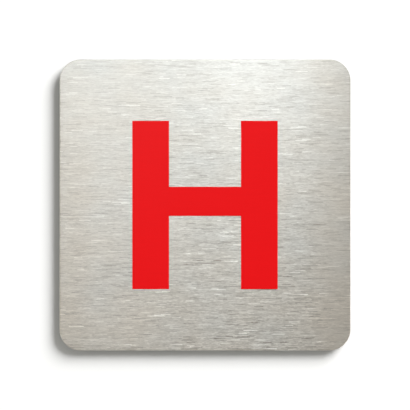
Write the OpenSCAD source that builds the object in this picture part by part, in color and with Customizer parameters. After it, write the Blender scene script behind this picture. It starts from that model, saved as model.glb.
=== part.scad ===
// Stick-on hydrant sign: a square brushed steel plate with a red letter H on its face
// and a double-sided foam pad on its back that holds it to a wall.
// The sign hangs upright. The origin is the middle of the pad's back, the face that meets
// the wall. +Z is up, +Y points into the wall, and the letter faces -Y.

/* [Plate] */
// Side of the square plate
plate_w = 80; // [64:1:160]
// Thickness of the plate's sheet
plate_t = 1.5; // [0.8:0.1:4]
// Radius of the plate's corners, seen from the front
corner_r = 5.75; // [2:0.05:16]
// Radius of the softened edge round the plate's face
face_edge_r = 0.15; // [0.05:0.05:0.4]
// Width of the deburring bevel round the plate's back
back_bevel = 0.15; // [0.05:0.05:0.3]

/* [Letter] */
// Width of the letter, over both stems
letter_w = 40; // [30:0.5:60]
// Height of the letter
letter_h = 46.3; // [30:0.1:62]
// Width of each upright stem
stem_w = 10.1; // [4:0.1:14]
// Height of the crossbar between the stems
bar_h = 8; // [3:0.1:16]
// How far the crossbar's middle sits above the letter's middle
bar_rise = 1; // [-5:0.1:5]
// Thickness of the red film
film_t = 0.1; // [0.05:0.01:0.5]

/* [Adhesive pad] */
// Bare rim of plate left round the pad
pad_margin = 9; // [3:0.5:20]
// Thickness of the foam pad
pad_t = 1; // [0.5:0.1:3]
// Radius of the pad's corners
pad_corner_r = 2; // [0.5:0.1:6]

/* [Hidden] */
$fn = 96;

// Heights above the wall of the plate's back and of its face
plate_back = pad_t;
plate_face = plate_back + plate_t;

// Length of each side of the plate between its corner curves
side_straight = plate_w - 2 * corner_r;
pad_w = plate_w - 2 * pad_margin;
stem_offset = (letter_w - stem_w) / 2;

// Lifts a piece drawn lying on its back to its height above the wall, then stands it up
module on_wall(height)
    rotate([90, 0, 0])
        translate([0, 0, height])
            children();

// Square outline with round corners
module rounded_square(side, r) {
    square([side, side - 2 * r], center = true);
    square([side - 2 * r, side], center = true);
    for (x = [-1, 1], y = [-1, 1])
        translate([x, y] * (side / 2 - r))
            circle(r);
}

// Section through the plate's rim, from the centre line of a corner curve out to the edge:
// a bevel where the sheet was deburred behind, and a rounding in front
module rim_section() {
    shoulder = corner_r - face_edge_r;
    shoulder_h = plate_t - face_edge_r;
    polygon([
        [0, 0],
        [corner_r - back_bevel, 0],
        [corner_r, back_bevel],
        [corner_r, shoulder_h],
        [shoulder, shoulder_h],
        [shoulder, plate_t],
        [0, plate_t]
    ]);
    translate([shoulder, shoulder_h])
        circle(face_edge_r);
}

// The rim section turned through a quarter circle
module plate_corner()
    rotate_extrude(angle = 90)
        rim_section();

// The rim section drawn out straight along one side
module plate_side()
    rotate([90, 0, 0])
        linear_extrude(height = side_straight, center = true)
            rim_section();

// Flat sheet whose softened rim runs unbroken round its four corners
module sign_plate()
    color([0.74, 0.73, 0.69])
        on_wall(plate_back) {
            linear_extrude(height = plate_t)
                square(side_straight, center = true);
            for (turn = [0 : 90 : 270])
                rotate(turn)
                    translate([side_straight / 2, 0, 0]) {
                        plate_side();
                        translate([0, side_straight / 2, 0])
                            plate_corner();
                    }
        }

// Letter cut from red film: two stems and a crossbar in one piece
module letter_h()
    color([0.91, 0.11, 0.12])
        on_wall(plate_face)
            linear_extrude(height = film_t) {
                for (x = [-1, 1])
                    translate([x * stem_offset, 0])
                        square([stem_w, letter_h], center = true);
                translate([0, bar_rise])
                    square([letter_w - stem_w, bar_h], center = true);
            }

// Die-cut square of double-sided foam tape, centred on the plate's back
module adhesive_pad()
    color([0.95, 0.95, 0.93])
        on_wall(0)
            linear_extrude(height = pad_t)
                rounded_square(pad_w, pad_corner_r);

sign_plate();
letter_h();
adhesive_pad();
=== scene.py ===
# Stick-on hydrant sign: a brushed steel plate with a red letter H, held to a wall by foam tape.
# Every length is in metres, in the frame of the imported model: +Z is up, the letter faces -Y
# and the wall lies at Y = 0. The pieces follow in the order of their making: plate, letter and
# tape pad, then the wall, the lights, the room and the camera.

import math

import bmesh
import bpy
import numpy as np
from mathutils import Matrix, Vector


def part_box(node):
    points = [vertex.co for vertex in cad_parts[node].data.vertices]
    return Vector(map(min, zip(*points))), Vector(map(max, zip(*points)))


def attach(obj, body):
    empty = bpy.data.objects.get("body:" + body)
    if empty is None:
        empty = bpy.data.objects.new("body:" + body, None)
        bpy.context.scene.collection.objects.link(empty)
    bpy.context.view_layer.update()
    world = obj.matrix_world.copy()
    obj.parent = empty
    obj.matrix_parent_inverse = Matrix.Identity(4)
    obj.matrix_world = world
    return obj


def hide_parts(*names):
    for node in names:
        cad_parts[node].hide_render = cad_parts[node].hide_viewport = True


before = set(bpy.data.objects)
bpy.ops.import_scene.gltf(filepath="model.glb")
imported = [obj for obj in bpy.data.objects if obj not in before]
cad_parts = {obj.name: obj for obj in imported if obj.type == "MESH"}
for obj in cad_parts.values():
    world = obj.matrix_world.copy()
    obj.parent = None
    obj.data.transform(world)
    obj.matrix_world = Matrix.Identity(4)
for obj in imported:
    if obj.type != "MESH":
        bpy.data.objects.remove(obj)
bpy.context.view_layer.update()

MM = 0.001


# The plate
# A square cut from 1.5 mm stainless sheet. Its face and rim were brushed from side to side on
# a belt, its edge was cut by laser and rounded over in front, and its back kept the mill's
# dull rolled finish.

plate_low, plate_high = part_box("sign_plate")
PLATE_HALF = (plate_high.x - plate_low.x) / 2
PLATE_FACE = plate_low.y
PLATE_BACK = plate_high.y
CORNER_RADIUS = 5.75 * MM
FACE_ROUND = 0.15 * MM
BACK_BEVEL = 0.15 * MM
EDGE_MARGIN = 0.06 * MM


def rounded_square(half, radius, insets, arc_steps=28, side_steps=12):
    """Rings of points (x, z) round a square with round corners, one ring for each inset.

    Corner k turns through the angles 90 k to 90 k + 90 degrees about its centre, which lies
    half - radius from both middle lines, and each side runs straight on to the next centre.
    A point is its centre plus (radius - inset) times its outward normal.
    """
    quarter = np.arange(4)[:, None] * math.pi / 2
    arc = np.linspace(0, math.pi / 2, arc_steps + 1)[None, :]
    along = np.linspace(0, 1, side_steps + 1)[None, 1:-1]
    turn = np.concatenate([quarter + arc, quarter + math.pi / 2 + 0 * along], axis=1)
    reach = half - radius
    first = quarter + math.pi / 4
    second = first + math.pi / 2
    share = np.concatenate([0 * quarter + 0 * arc, 0 * quarter + along], axis=1)
    diagonal = reach * math.sqrt(2)
    centre_x = diagonal * ((1 - share) * np.cos(first) + share * np.cos(second))
    centre_z = diagonal * ((1 - share) * np.sin(first) + share * np.sin(second))
    centre = np.stack([centre_x.ravel(), centre_z.ravel()], axis=1)
    normal = np.stack([np.cos(turn).ravel(), np.sin(turn).ravel()], axis=1)
    return centre[None] + (radius - np.asarray(insets)[:, None, None]) * normal[None]


def finished_piece(name, points, faces, sharp_from=40):
    """A piece from its points and faces: turned to face outwards, and shaded smooth except
    where two faces meet at more than sharp_from degrees."""
    mesh = bpy.data.meshes.new(name)
    mesh.from_pydata(points, [], faces)
    shell = bmesh.new()
    shell.from_mesh(mesh)
    bmesh.ops.recalc_face_normals(shell, faces=shell.faces)
    shell.to_mesh(mesh)
    shell.free()
    mesh.shade_smooth()
    mesh.set_sharp_from_angle(angle=math.radians(sharp_from))
    piece = bpy.data.objects.new(name, mesh)
    bpy.context.scene.collection.objects.link(piece)
    return piece


def ringed_slab(name, half, radius, insets, depths):
    """A closed slab: the outline at each inset stands at its depth in Y, bands of four-sided
    faces join each ring to the next, and one flat face closes each end."""
    outline = rounded_square(half, radius, insets)
    rings, around = outline.shape[:2]
    depth = np.broadcast_to(np.asarray(depths)[:, None], (rings, around))
    points = np.stack([outline[..., 0], depth, outline[..., 1]], axis=2).reshape(-1, 3)
    index = np.arange(rings * around).reshape(rings, around)
    ahead = np.roll(index, -1, axis=1)
    bands = np.stack([index[:-1], ahead[:-1], ahead[1:], index[1:]], axis=2).reshape(-1, 4)
    ends = [index[0].tolist(), index[-1].tolist()]
    return finished_piece(name, points.tolist(), bands.tolist() + ends)


turn = np.linspace(0, math.pi / 2, 9)
plate_insets = np.concatenate([
    [BACK_BEVEL + EDGE_MARGIN, BACK_BEVEL, 0, 0],
    FACE_ROUND * (1 - np.cos(turn)),
    [FACE_ROUND + EDGE_MARGIN],
])
plate_depths = np.concatenate([
    [PLATE_BACK, PLATE_BACK, PLATE_BACK - BACK_BEVEL, (PLATE_BACK + PLATE_FACE) / 2],
    PLATE_FACE + FACE_ROUND * (1 - np.sin(turn)),
    [PLATE_FACE],
])
plate = ringed_slab("brushed_plate", PLATE_HALF, CORNER_RADIUS, plate_insets, plate_depths)


class Finish:
    """A material, or the sky round the sign, being laid out in nodes."""

    def __init__(self, name, library=bpy.data.materials):
        self.made = library.new(name)
        self.made.use_nodes = True
        self.nodes = self.made.node_tree.nodes
        self.nodes.clear()

    def node(self, kind, settings, inputs):
        """Adds one node. The settings are set first, as some of them decide which sockets the
        node has. Inputs are numbers, colours or Readings, by the name or number of a socket."""
        made = self.nodes.new(kind)
        for name, value in settings.items():
            setattr(made, name, value)
        for key, value in inputs.items():
            if isinstance(value, Reading):
                self.made.node_tree.links.new(value.socket, made.inputs[key])
            else:
                made.inputs[key].default_value = value
        return made

    def read(self, kind, settings, inputs, output=0):
        """Adds one node and returns one of its outputs as a Reading."""
        return Reading(self, self.node(kind, settings, inputs).outputs[output])

    def place(self, kind="Object"):
        """The point on the piece in metres, or the direction in the sky, as three Readings."""
        point = self.read("ShaderNodeTexCoord", {}, {}, kind)
        split = self.node("ShaderNodeSeparateXYZ", {}, {"Vector": point})
        return [Reading(self, socket) for socket in split.outputs]

    def noise(self, x, y, z, detail=0.0, roughness=0.5):
        """Smooth noise about 0, from -1 to 1, with one bump to each unit of x, y and z."""
        point = self.read("ShaderNodeCombineXYZ", {}, {"X": x, "Y": y, "Z": z})
        settings = {"noise_dimensions": "3D", "noise_type": "FBM", "normalize": True}
        inputs = {"Vector": point, "Scale": 1.0, "Detail": detail, "Roughness": roughness}
        return self.read("ShaderNodeTexNoise", settings, inputs) * 2.0 - 1.0

    def chance(self, x, y, z):
        """A number from 0 to 1, drawn by chance for each different x, y and z."""
        point = self.read("ShaderNodeCombineXYZ", {}, {"X": x, "Y": y, "Z": z})
        return self.read("ShaderNodeTexWhiteNoise", {"noise_dimensions": "3D"}, {"Vector": point})

    def tint(self, share, first, second):
        """A colour that goes from first to second as share goes from 0 to 1."""
        settings = {"data_type": "RGBA", "blend_type": "MIX", "clamp_factor": True}
        return self.read("ShaderNodeMix", settings, {0: share, 6: first, 7: second}, 2)

    def scaled(self, colour, share):
        """A colour made lighter or darker by a share that varies over the surface."""
        return self.read("ShaderNodeVectorMath", {"operation": "SCALE"}, {0: colour, "Scale": share})

    def surface(self, inputs):
        """Ends the material in one Principled surface with these inputs."""
        shader = self.read("ShaderNodeBsdfPrincipled", {}, inputs)
        self.node("ShaderNodeOutputMaterial", {}, {"Surface": shader})
        return self.made


class Reading:
    """A value that varies over a surface. Arithmetic on Readings adds Math nodes."""

    def __init__(self, finish, socket):
        self.finish = finish
        self.socket = socket

    def maths(self, operation, first, second=0.0):
        """One Math node on two values, of which either may be this Reading."""
        settings = {"operation": operation}
        return self.finish.read("ShaderNodeMath", settings, {0: first, 1: second})

    def __add__(self, other):
        return self.maths("ADD", self, other)

    def __sub__(self, other):
        return self.maths("SUBTRACT", self, other)

    def __rsub__(self, other):
        return self.maths("SUBTRACT", other, self)

    def __mul__(self, other):
        return self.maths("MULTIPLY", self, other)

    def __truediv__(self, other):
        return self.maths("DIVIDE", self, other)

    def root(self):
        """The square root."""
        return self.maths("SQRT", self)

    def size(self):
        """The value without its sign."""
        return self.maths("ABSOLUTE", self)

    def floor(self):
        """The next whole number down."""
        return self.maths("FLOOR", self)

    def at_least(self, other):
        """This or the other value, whichever is larger."""
        return self.maths("MAXIMUM", self, other)

    __radd__ = __add__
    __rmul__ = __mul__

    def step(self, low, high):
        """0 where this is at or below low, 1 at or above high, and smooth between."""
        settings = {"interpolation_type": "SMOOTHSTEP", "clamp": True}
        inputs = {"Value": self, "From Min": low, "From Max": high}
        return self.finish.read("ShaderNodeMapRange", settings, inputs)


# The chance start of a row moves it along by up to ROW_REACH strokes or HAIR_REACH hairs, and
# reads hairs up to HAIR_SPREAD apart. Only strokes whose lightness is past RARE stand out.
ROW_REACH = 61.7
HAIR_REACH = 997.0
HAIR_SPREAD = 31.0
RARE = 0.66


def brushed_face(steel, x, y, z):
    """The tone, relief and grain of the face: layers of short straight scratches along X, each
    layer in rows of its own. Their contrast is painted to follow the light: strongest low down
    to the right of the middle, and weakest along both sides."""
    level = z + steel.noise(x / (90 * MM), y / (5 * MM), z / (0.8 * MM)) * (0.12 * MM)

    def rows(thickness, layer):
        """The number of each row, and a start from 0 to 1 that is drawn for that row. The
        layer is any number, and keeps one layer's draws apart from another's."""
        row = (level / thickness + layer).floor()
        return row, steel.chance(row, 0.0, layer)

    def strokes(length, thickness, layer):
        """Scratches laid end to end in rows, each of one lightness from -1 to 1. They are 0.7
        to 1.7 lengths long, alike in a row and different from row to row."""
        row, start = rows(thickness, layer)
        stroke = (x / length * (start * 0.8 + 0.6) + start * ROW_REACH).floor()
        return steel.chance(stroke, row, layer) * 2.0 - 1.0

    def hairs(length, thickness, layer):
        """Rows of softer lines, whose lightness swells and fades once in about two lengths."""
        _, start = rows(thickness, layer)
        return steel.noise(x / length + start * HAIR_REACH, start * HAIR_SPREAD, layer, 1.0)

    fine = strokes(0.8 * MM, 0.12 * MM, 7.3)
    drag = strokes(2.4 * MM, 0.2 * MM, 19.1)
    pull = hairs(5.0 * MM, 0.2 * MM, 37.5)
    bright = strokes(2.8 * MM, 0.22 * MM, 71.3).step(RARE, 1.0)
    dark = strokes(3.2 * MM, 0.2 * MM, 93.7).step(RARE, 1.0)
    crowd = hairs(8.0 * MM, 1.2 * MM, 11.7).step(-0.1, 0.5)
    patch = hairs(7.0 * MM, 0.8 * MM, 53.9)
    band = steel.noise(x / (30 * MM), y / (5 * MM), z / (1.4 * MM) + 41.9, 1.0)

    # Painted light: these masks make the scratches' contrast stronger low down and right of the middle,
    # and weaker along both sides.
    middle = x.step(-36 * MM, 12 * MM)
    right = x.step(27 * MM, 37 * MM)
    painted_contrast_slope = 0.6 + middle * 0.75 - right * 1.3
    painted_grain_contrast = 0.77 + middle * 0.28 - right * 0.43 - z / (150 * MM) * painted_contrast_slope

    grain = fine * 0.16 + drag * 0.08 + pull * 0.05
    lines = bright * (0.16 + crowd * 0.36) - dark * (0.28 - crowd * 0.08)
    tone = 1.0 + (grain * 0.8 + lines) * painted_grain_contrast + band * 0.05 + patch * 0.05
    return tone, grain + lines * 2.0, grain


def cut_edge(steel, x, y, z):
    """The tone and relief of the cut edge: fine marks that run through the sheet's thickness,
    and a faint darker burn along it."""
    marks = steel.noise(x / (0.1 * MM), y / (1.6 * MM), z / (0.1 * MM), 2.0)
    burn = steel.noise(x / (3 * MM), y / (0.3 * MM), z / (3 * MM), 1.0)
    return 0.46 + marks * 0.22 + burn * 0.07, marks


def rolled_back(steel, x, y, z):
    """The tone and relief of the back: a fine mottle, and faint lines up and down from the
    rolls of the mill."""
    mottle = steel.noise(x / (0.4 * MM), y / MM, z / (0.4 * MM), 3.0)
    roll = steel.noise(x / (0.35 * MM), y / MM, z / (16 * MM), 1.0)
    return 0.9 + mottle * 0.12 + roll * 0.08, mottle * 0.3 + roll * 0.3


def brushed_steel():
    """Stainless steel with three finishes: brushed on the face, cut round the edge, and dull
    from the mill on the back. Each share is 1 on its own part of the sheet's thickness. A
    painted tint of the light it mirrors makes the metal a little warmer low down and along
    both flanks, and it is also warmer in its dark scratches."""
    steel = Finish("brushed_steel")
    x, y, z = steel.place()
    front = 1.0 - y.step(PLATE_FACE + 0.05 * MM, PLATE_FACE + 0.2 * MM)
    back = y.step(PLATE_BACK - 0.12 * MM, PLATE_BACK - 0.03 * MM)
    side = 1.0 - front - back

    drift = steel.noise(x / (14 * MM), y / (5 * MM), z / (9 * MM), 1.0)
    face_tone, face_relief, grain = brushed_face(steel, x, y, z)
    face_tone = face_tone + drift * 0.02
    edge_tone, edge_relief = cut_edge(steel, x, y, z)
    back_tone, back_relief = rolled_back(steel, x, y, z)
    tone = face_tone * front + edge_tone * side + back_tone * back
    relief = face_relief * front + edge_relief * side + back_relief * back

    # Painted tint of the mirrored light: warmer low down and along both flanks. The drift and the dark
    # scratches also add warmth.
    painted_flank_warmth = x.step(25 * MM, 36 * MM) + 1.0 - x.step(-36 * MM, -28 * MM)
    warmth_and_painted_tint = 1.44 + painted_flank_warmth * 0.28 - z / (137 * MM) + drift * 0.48 - face_tone * 1.04
    colour = steel.tint(warmth_and_painted_tint, (0.59, 0.577, 0.527, 1), (0.6125, 0.5545, 0.468, 1))
    height = steel.read("ShaderNodeBump", {}, {"Strength": 0.5, "Distance": 0.02 * MM, "Height": relief})
    return steel.surface({
        "Base Color": steel.scaled(colour, tone),
        "Metallic": 1.0,
        "Roughness": 0.39 + grain * front * 0.06 + side * 0.08 - back * 0.04,
        "Anisotropic": 0.8,
        "Anisotropic Rotation": 0.25,
        "Normal": height,
    })


plate.data.materials.append(brushed_steel())
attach(plate, "root")
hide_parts("sign_plate")


# The letter
# A plain H of three bars, cut in one piece from red self-adhesive film and pressed on the
# middle of the face.

letter_low, letter_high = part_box("letter_h")
STEM_WIDTH = 10.1 * MM
BAR_HEIGHT = 8.0 * MM
BAR_RISE = 1.0 * MM
FILM_EDGE = 0.02 * MM
GRID_STEP = 1.2 * MM


def cut_lines(marks):
    """Coordinates from the first mark to the last that hold every mark, with even steps of
    about GRID_STEP between one mark and the next."""
    spans = []
    for start, end in zip(marks[:-1], marks[1:]):
        steps = max(1, round((end - start) / GRID_STEP))
        spans.append(np.linspace(start, end, steps, endpoint=False))
    return np.concatenate([*spans, marks[-1:]])


def letter_sheet():
    """The front of the H as a grid of four-sided faces: of the cells that its box holds, those
    stay whose middle is in a stem or in the crossbar."""
    inner = letter_high.x - STEM_WIDTH
    middle = (letter_low.z + letter_high.z) / 2 + BAR_RISE
    across = cut_lines([letter_low.x, -inner, inner, letter_high.x])
    bar_low = middle - BAR_HEIGHT / 2
    bar_high = middle + BAR_HEIGHT / 2
    up = cut_lines([letter_low.z, bar_low, bar_high, letter_high.z])
    cell_x = (across[:-1] + across[1:]) / 2
    cell_z = (up[:-1] + up[1:]) / 2
    in_stem = np.abs(cell_x)[None, :] > inner
    in_bar = (np.abs(cell_z - middle) < BAR_HEIGHT / 2)[:, None]
    kept = in_stem | in_bar
    index = np.arange(up.size * across.size).reshape(up.size, across.size)
    cells = np.stack([index[:-1, :-1], index[:-1, 1:], index[1:, 1:], index[1:, :-1]], axis=2)
    cells = cells[kept]
    used, cells = np.unique(cells, return_inverse=True)
    grid_x, grid_z = np.meshgrid(across, up)
    depth = np.full(grid_x.size, letter_high.y)
    points = np.stack([grid_x.ravel(), depth, grid_z.ravel()], axis=1)[used]
    return points.tolist(), cells.reshape(-1, 4).tolist()


letter = finished_piece("red_letter", *letter_sheet())
film = letter.modifiers.new("film_thickness", "SOLIDIFY")
film.thickness = letter_high.y - letter_low.y
film.offset = 1.0
edge = letter.modifiers.new("film_edge", "BEVEL")
edge.width = FILM_EDGE
edge.segments = 2
edge.harden_normals = True
edge.limit_method = "ANGLE"
edge.angle_limit = math.radians(60)


def red_film():
    """Opaque red vinyl with a satin skin, through which the brushing of the plate just shows."""
    red = Finish("red_film")
    x, y, z = red.place()
    skin = red.noise(x / (0.5 * MM), y / (0.5 * MM), z / (0.5 * MM), 2.0)
    grain = red.noise(x / (6 * MM), y / MM, z / (0.3 * MM), 1.0)
    tone = 1.0 + skin * 0.02 + grain * 0.02
    relief = skin * 0.4 + grain * 0.6
    height = red.read("ShaderNodeBump", {}, {"Strength": 0.12, "Distance": 0.02 * MM, "Height": relief})
    return red.surface({
        "Base Color": red.scaled((0.755, 0.004, 0.006), tone),
        "Roughness": 0.36 + skin * 0.04,
        "Specular IOR Level": 0.12,
        "Normal": height,
    })


letter.data.materials.append(red_film())
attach(letter, "root")
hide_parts("letter_h")


# The tape pad
# A die-cut square of white closed-cell foam with a skin of clear adhesive on both faces. Its
# cut sides swell a little between the plate and the wall.

pad_low, pad_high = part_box("adhesive_pad")
PAD_HALF = (pad_high.x - pad_low.x) / 2
PAD_CORNER = 2.0 * MM
SKIN = 0.05 * MM
SWELL = 0.1 * MM

rise = np.linspace(0, 1, 13)
foam_depths = pad_high.y - SKIN + rise * (pad_low.y - pad_high.y + 2 * SKIN)
foam_insets = SWELL * (1 - np.sin(math.pi * rise))
pad_insets = np.concatenate([[0.4 * MM, 0, 0], foam_insets, [0, 0, 0.4 * MM]])
pad_depths = np.concatenate([
    [pad_high.y, pad_high.y, pad_high.y - SKIN],
    foam_depths,
    [pad_low.y + SKIN, pad_low.y, pad_low.y],
])
pad = ringed_slab("foam_tape", PAD_HALF, PAD_CORNER, pad_insets, pad_depths)


def foam_tape():
    """White foam with fine cells where it is cut, and a faint gloss where adhesive covers it."""
    foam = Finish("foam_tape")
    x, y, z = foam.place()
    cells = foam.noise(x / (0.12 * MM), y / (0.12 * MM), z / (0.12 * MM), 2.0)
    ripple = foam.noise(x / (2.2 * MM), y / MM, z / (2.2 * MM), 2.0)
    skin = y.step(pad_high.y - 2 * SKIN, pad_high.y - SKIN)
    tone = 1.0 + cells * (0.12 - skin * 0.08) + ripple * 0.02
    relief = cells * (1.0 - skin * 0.8) + ripple * skin
    height = foam.read("ShaderNodeBump", {}, {"Strength": 0.4, "Distance": 0.05 * MM, "Height": relief})
    return foam.surface({
        "Base Color": foam.scaled((0.84, 0.84, 0.80), tone),
        "Roughness": 0.85 - skin * 0.5 + ripple * 0.05,
        "Normal": height,
    })


pad.data.materials.append(foam_tape())
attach(pad, "root")
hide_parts("adhesive_pad")


# The wall
# A white wall that the sign is stuck to. It is there only for what looks at its front, so the
# back of the sign can be seen as well.

WALL_GAP = 0.05 * MM
WALL_HALF = 0.6
FADE_FROM = 90 * MM
FADE_TO = 180 * MM


def white_wall():
    """Matt white paint that shows only from the front and fades into the white beyond it. The
    first bounce of light from what the camera sees passes through it, so that the sign's back
    is lit. Later bounces are stopped, so that no light leaks in from behind."""
    paint = Finish("white_wall")
    x, y, z = paint.place()
    away = (x * x + z * z).root()
    behind = paint.read("ShaderNodeNewGeometry", {}, {}, "Backfacing")
    bounces = paint.read("ShaderNodeLightPath", {}, {}, "Ray Depth")
    first_bounce = 1.0 - (bounces - 1.0).size()
    gone = away.step(FADE_FROM, FADE_TO).at_least(behind).at_least(first_bounce)
    matt = paint.read("ShaderNodeBsdfDiffuse", {}, {"Color": (1, 1, 1, 1)})
    clear = paint.read("ShaderNodeBsdfTransparent", {}, {})
    shader = paint.read("ShaderNodeMixShader", {}, {0: gone, 1: matt, 2: clear})
    paint.node("ShaderNodeOutputMaterial", {}, {"Surface": shader})
    return paint.made


wall_corners = [
    (-WALL_HALF, WALL_GAP, -WALL_HALF),
    (WALL_HALF, WALL_GAP, -WALL_HALF),
    (WALL_HALF, WALL_GAP, WALL_HALF),
    (-WALL_HALF, WALL_GAP, WALL_HALF),
]
wall_sheet = bpy.data.meshes.new("wall")
wall_sheet.from_pydata(wall_corners, [], [(0, 1, 2, 3)])
wall_sheet.materials.append(white_wall())
wall = bpy.data.objects.new("wall", wall_sheet)
bpy.context.scene.collection.objects.link(wall)


# The lights
# A large round lamp high on the right throws the soft shadow down to the left, and a smaller
# one behind lights the back. Two bright strips above the sign show only in the metal, where
# the brushing spreads them into its glow.

WHITE = (1, 1, 1)
COOL = (0.91, 0.95, 1.0)


def soft_lamp(name, place, width, height, power, colour=WHITE, shape="ELLIPSE"):
    """A flat soft lamp that faces the middle of the sign and lights its matt surfaces. It isn't
    in the picture, and metal doesn't mirror it."""
    lamp = bpy.data.lights.new(name, "AREA")
    lamp.shape = shape
    lamp.size = width
    lamp.size_y = height
    lamp.energy = power
    lamp.color = colour
    holder = bpy.data.objects.new(name, lamp)
    holder.location = place
    holder.rotation_mode = "QUATERNION"
    holder.rotation_quaternion = holder.location.to_track_quat("Z", "Y")
    holder.visible_camera = False
    holder.visible_glossy = False
    bpy.context.scene.collection.objects.link(holder)
    return holder


def strip_lamp(name, place, width, height, power):
    """A slim lamp that only shows mirrored in metal."""
    holder = soft_lamp(name, place, width, height, power, COOL, "RECTANGLE")
    holder.visible_glossy = True
    holder.visible_diffuse = False


soft_lamp("key_lamp", (2.203, -1.805, 2.203), width=2.2, height=2.7, power=216)
soft_lamp("back_lamp", (-0.5, 1.2, 0.7), width=1.2, height=1.2, power=20)
strip_lamp("left_strip", (-0.05, -0.3, 0.108), width=0.016, height=0.228, power=0.129)
strip_lamp("right_strip", (0.0245, -0.3, 0.166), width=0.036, height=0.075, power=0.262)


# The room
# White all round, apart from one dim place in front of the sign, where the camera stands. The
# metal mirrors it, and the letter and the wall get a softer, even light from it.

SKY_LIGHT = (0.33, 0.33, 0.312, 1)
SKY_WHITE = (1, 1, 1, 1)
SKY_DIM = (0.03, 0.029, 0.028, 1)
DIM_ACROSS = 0.5
DIM_UP = 0.6
DIM_BORDER = (0.8, 1.2)


def studio_sky():
    """The room as the sky. The dim place is an ellipse round the direction -Y that reaches
    DIM_ACROSS to each side and DIM_UP up and down, with a soft border. All behind the sign is
    white, and the camera itself sees plain white everywhere."""
    room = Finish("studio", bpy.data.worlds)
    x, y, z = room.place("Generated")
    aside = x / DIM_ACROSS
    above = z / DIM_UP
    lit = (aside * aside + above * above).root().step(*DIM_BORDER).at_least(y.step(-0.3, 0.0))
    mirrored = room.tint(lit, SKY_DIM, SKY_WHITE)
    from_camera, from_gloss, matt_turns = [
        room.read("ShaderNodeLightPath", {}, {}, kind)
        for kind in ("Is Camera Ray", "Is Glossy Ray", "Diffuse Depth")
    ]
    shown = room.tint(from_gloss * (1.0 - matt_turns), SKY_LIGHT, mirrored)
    shown = room.tint(from_camera, shown, SKY_WHITE)
    shader = room.read("ShaderNodeBackground", {}, {"Color": shown})
    room.node("ShaderNodeOutputWorld", {}, {"Surface": shader})
    return room.made


bpy.context.scene.world = studio_sky()


# The camera
# A long lens straight in front of the sign, so far off that the plate takes up PLATE_PIXELS of
# the picture's width of PICTURE_PIXELS.

LENS = 200
SENSOR = 36
PICTURE_PIXELS = 410
PLATE_PIXELS = 290.8
picture_width = 2 * PLATE_HALF * PICTURE_PIXELS / PLATE_PIXELS

lens = bpy.data.cameras.new("camera")
lens.lens = LENS
lens.sensor_width = SENSOR
camera = bpy.data.objects.new("camera", lens)
camera.location = (0, PLATE_FACE - picture_width * LENS / SENSOR, 0)
camera.rotation_euler = (math.pi / 2, 0, 0)
bpy.context.scene.collection.objects.link(camera)
bpy.context.scene.camera = camera
bpy.context.scene.view_settings.view_transform = "Standard"
